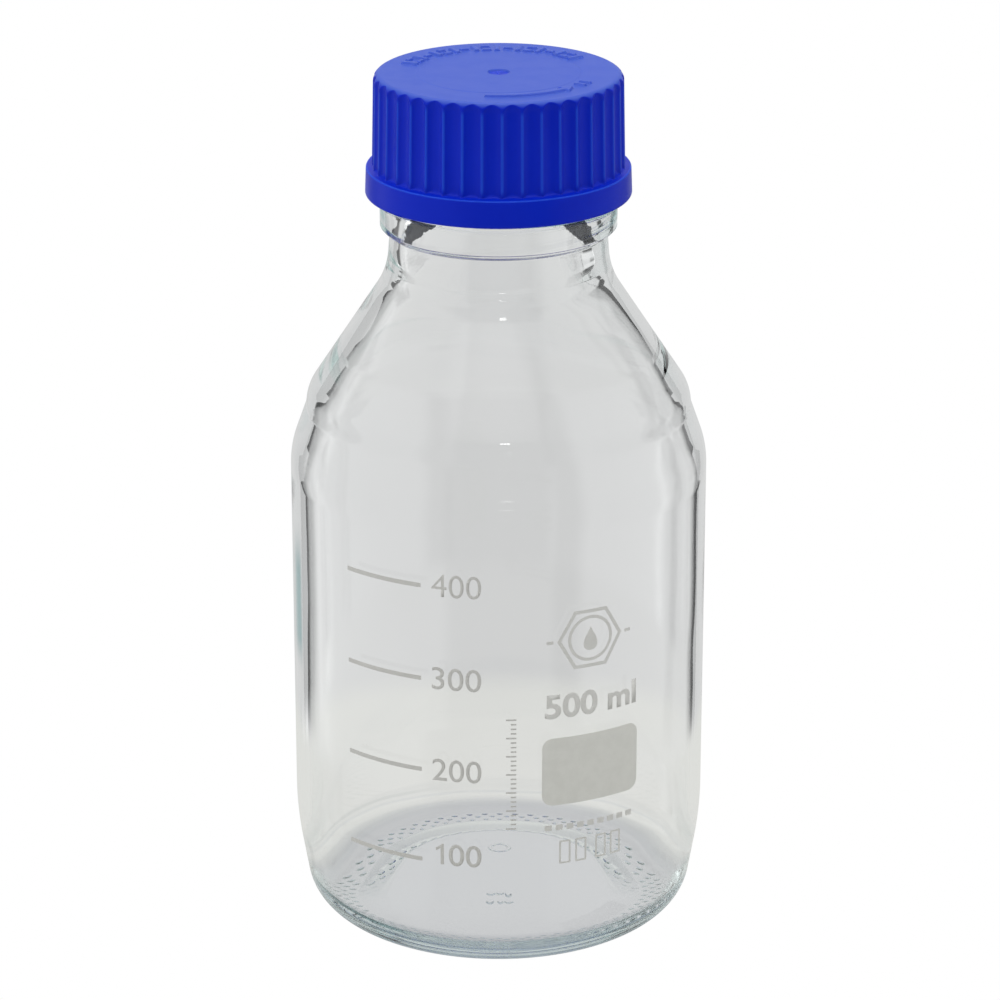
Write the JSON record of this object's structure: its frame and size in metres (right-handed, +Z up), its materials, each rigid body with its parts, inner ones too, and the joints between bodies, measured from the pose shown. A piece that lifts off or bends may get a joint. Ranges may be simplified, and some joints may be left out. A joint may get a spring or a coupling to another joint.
{
  "type": "reagent bottle",
  "caption": "Clear glass laboratory reagent bottle with a graduated body, conical shoulder, threaded neck, pouring ring and fluted blue screw cap.",
  "frame": {"origin": "middle of the standing plane, on the bottle's axis", "axes": "+Z up the bottle's axis towards the cap; -Y is the front, the side with the graduation lines (towards -X) and the writing panel (towards +X)"},
  "size_m": [0.086, 0.086, 0.181],
  "materials": {
    "glass": "fire-polished clear borosilicate glass",
    "enamel": "matt fired enamel, warm light grey",
    "ring_plastic": "moulded polypropylene, satin",
    "cap_plastic": "moulded polypropylene, satin"
  },
  "bodies": {
    "bottle": {"glass_bottle": "glass", "scale_line_100": "enamel", "scale_line_200": "enamel", "scale_line_300": "enamel", "scale_line_400": "enamel", "writing_panel": "enamel"},
    "ring": {"pouring_ring": "ring_plastic"},
    "cap": {"screw_cap": "cap_plastic"}
  },
  "joints": [
    {"name": "cap_turn", "type": "hinge", "parent": "bottle", "child": "ring", "pos_m": [0, 0, 0.176], "axis": [0, 0, 1], "range_deg": [0, 2160]},
    {"name": "cap_rise", "type": "slide", "parent": "ring", "child": "cap", "axis": [0, 0, 1], "range_m": [0, 0.02401]}
  ],
  "couplings": [
    {"joint": "cap_rise", "follows": "cap_turn", "m_per_rad": 0.00063662}
  ]
}
